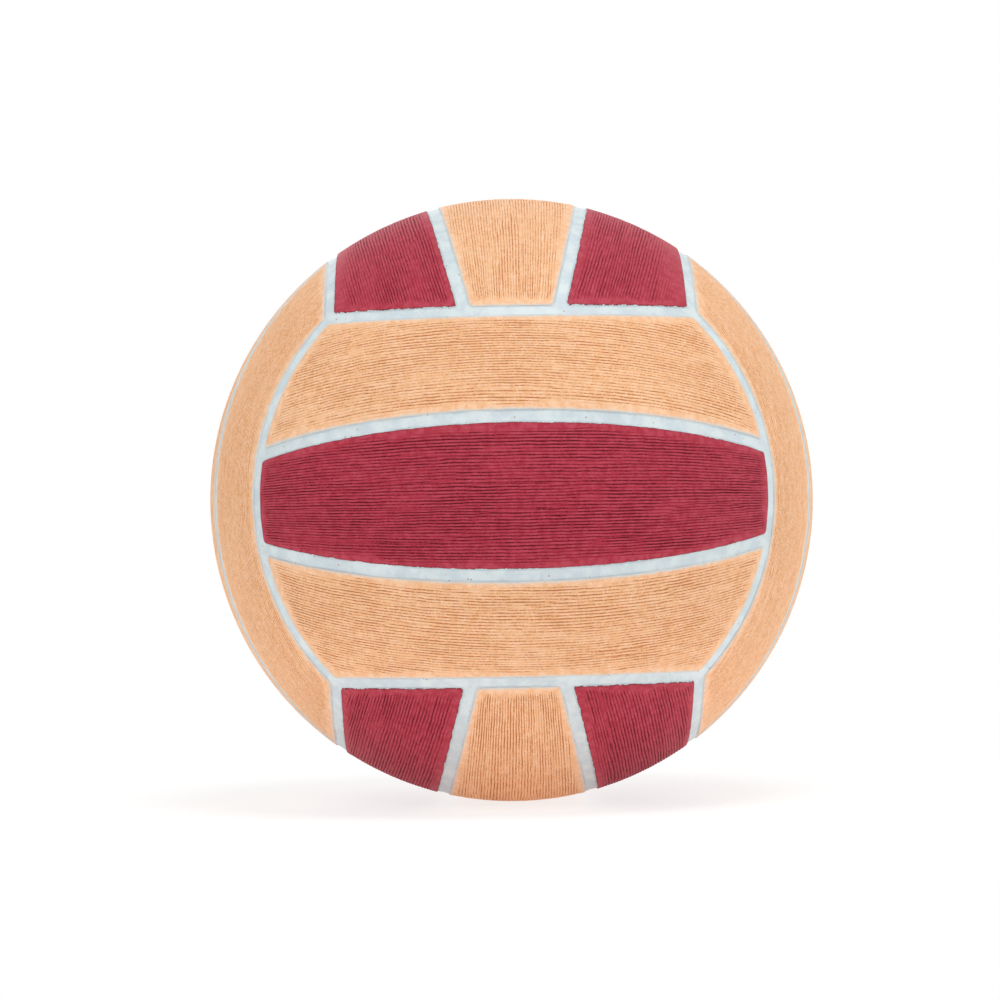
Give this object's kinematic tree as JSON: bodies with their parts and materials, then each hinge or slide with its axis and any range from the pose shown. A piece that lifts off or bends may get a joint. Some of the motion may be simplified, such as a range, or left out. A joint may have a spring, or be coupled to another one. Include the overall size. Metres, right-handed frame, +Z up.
{
  "type": "water polo ball",
  "caption": "Inflated water polo ball: ridged rubber strips in peach and crimson, mint seam strips, carcass, winding, bladder and a needle valve.",
  "frame": {"origin": "centre of the ball", "axes": "+Z up through the middle of the top face, -Y out of the front face whose strips run level, +Y out through the valve, +X to the right seen from the front"},
  "size_m": [0.21, 0.2099, 0.21],
  "materials": {
    "peach_rubber": "matte, ridged grip",
    "crimson_rubber": "matte, ridged grip",
    "mint_rubber": "matte, smooth",
    "carcass_rubber": "matte",
    "nylon_thread": "wound thread",
    "bladder_rubber": "satin",
    "valve_rubber": "satin",
    "valve_core_rubber": "satin"
  },
  "bodies": {
    "root": {"front_lower_panel": "peach_rubber", "front_middle_panel": "crimson_rubber", "front_upper_panel": "peach_rubber", "back_lower_panel": "peach_rubber", "back_middle_panel": "crimson_rubber", "back_upper_panel": "peach_rubber", "left_front_panel": "peach_rubber", "left_middle_panel": "peach_rubber", "left_back_panel": "peach_rubber", "right_back_panel": "peach_rubber", "right_middle_panel": "peach_rubber", "right_front_panel": "peach_rubber", "top_right_panel": "crimson_rubber", "top_middle_panel": "peach_rubber", "top_left_panel": "crimson_rubber", "bottom_left_panel": "crimson_rubber", "bottom_middle_panel": "peach_rubber", "bottom_right_panel": "crimson_rubber", "front_lower_divider": "mint_rubber", "front_upper_divider": "mint_rubber", "front_left_seam": "mint_rubber", "front_right_seam": "mint_rubber", "back_lower_divider": "mint_rubber", "back_upper_divider": "mint_rubber", "back_right_seam": "mint_rubber", "back_left_seam": "mint_rubber", "left_front_divider": "mint_rubber", "left_back_divider": "mint_rubber", "left_bottom_seam": "mint_rubber", "left_top_seam": "mint_rubber", "right_back_divider": "mint_rubber", "right_front_divider": "mint_rubber", "right_bottom_seam": "mint_rubber", "right_top_seam": "mint_rubber", "top_right_divider": "mint_rubber", "top_left_divider": "mint_rubber", "top_front_seam": "mint_rubber", "top_back_seam": "mint_rubber", "bottom_left_divider": "mint_rubber", "bottom_right_divider": "mint_rubber", "bottom_front_seam": "mint_rubber", "bottom_back_seam": "mint_rubber", "carcass": "carcass_rubber", "nylon_winding": "nylon_thread", "bladder": "bladder_rubber", "valve_housing": "valve_rubber", "valve_core": "valve_core_rubber"}
  },
  "joints": []
}
